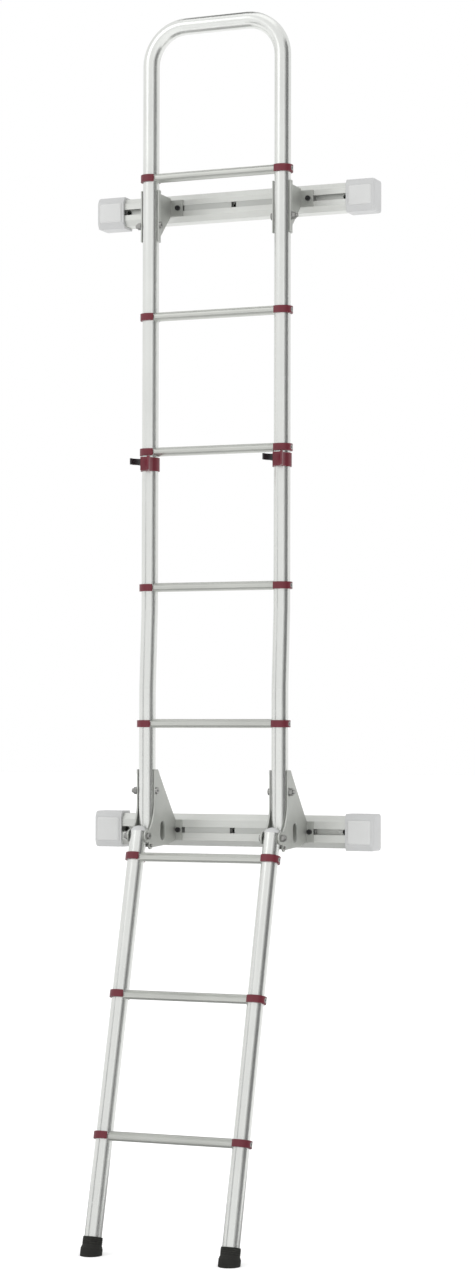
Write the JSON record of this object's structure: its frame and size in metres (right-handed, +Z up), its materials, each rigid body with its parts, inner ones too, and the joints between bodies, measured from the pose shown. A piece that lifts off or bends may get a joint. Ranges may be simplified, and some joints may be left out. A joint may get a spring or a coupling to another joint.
{
  "type": "vehicle rear door ladder",
  "caption": "Rigid tubular aluminium ladder that bolts by two rails to a van's rear door; its lower section hinges up and snaps into clips on the fixed stiles.",
  "frame": {"origin": "centre of the upper rail's row of door screws, in the plane where its pads rest on the door", "axes": "+X to the climber's right, +Y into the door, +Z up"},
  "size_m": [0.586, 0.4027, 2.3471],
  "materials": {
    "tube": "satin anodised",
    "tread": "extruded, satin",
    "rail": "extruded, satin",
    "bracket": "cast, bead blasted",
    "red_plastic": "moulded",
    "black_plastic": "moulded",
    "cap_plastic": "moulded",
    "rubber": "moulded",
    "steel": "stainless",
    "dark_steel": "blackened"
  },
  "bodies": {
    "upper_frame": {"hoop_frame": "tube", "tube_end_plugs": "black_plastic", "rung_1": "tread", "rung_2": "tread", "rung_3": "tread", "rung_4": "tread", "rung_5": "tread", "collars_1": "red_plastic", "collars_2": "red_plastic", "collars_3": "red_plastic", "collars_4": "red_plastic", "collars_5": "red_plastic", "upper_rung_plugs": "black_plastic", "upper_rung_screws": "steel", "clip_body_left": "red_plastic", "clip_body_right": "red_plastic", "clip_jaw_left": "black_plastic", "clip_jaw_right": "black_plastic", "clip_screws": "steel", "upper_rail": "rail", "lower_rail": "rail", "upper_groove_covers": "rail", "lower_groove_covers": "rail", "upper_back_pads": "rubber", "lower_back_pads": "rubber", "upper_cap_left": "cap_plastic", "upper_cap_right": "cap_plastic", "lower_cap_left": "cap_plastic", "lower_cap_right": "cap_plastic", "upper_bracket_left": "bracket", "upper_bracket_right": "bracket", "upper_bracket_bolts": "steel", "upper_bracket_nuts": "steel", "upper_rail_bolts": "dark_steel", "upper_slot_nuts": "steel", "lower_bracket_left": "bracket", "lower_bracket_right": "bracket", "lower_bracket_bolts": "steel", "lower_bracket_nuts": "steel", "lower_rail_bolts": "dark_steel", "lower_slot_nuts": "steel", "hinge_bolts": "steel", "hinge_nuts": "steel", "hinge_stop_pins": "steel"},
    "lower_section": {"rung_6": "tread", "rung_7": "tread", "rung_8": "tread", "collars_6": "red_plastic", "collars_7": "red_plastic", "collars_8": "red_plastic", "lower_rung_plugs": "black_plastic", "lower_rung_screws": "steel", "hinge_bushes": "black_plastic", "lower_stile_left": "tube", "lower_stile_right": "tube", "stile_plug_left": "rubber", "stile_plug_right": "rubber", "foot_left": "rubber", "foot_right": "rubber"}
  },
  "joints": [
    {"name": "lower_fold", "type": "hinge", "parent": "upper_frame", "child": "lower_section", "pos_m": [0, -0.177, -1.232], "axis": [-1, 0, 0], "range_deg": [0, 165]}
  ]
}
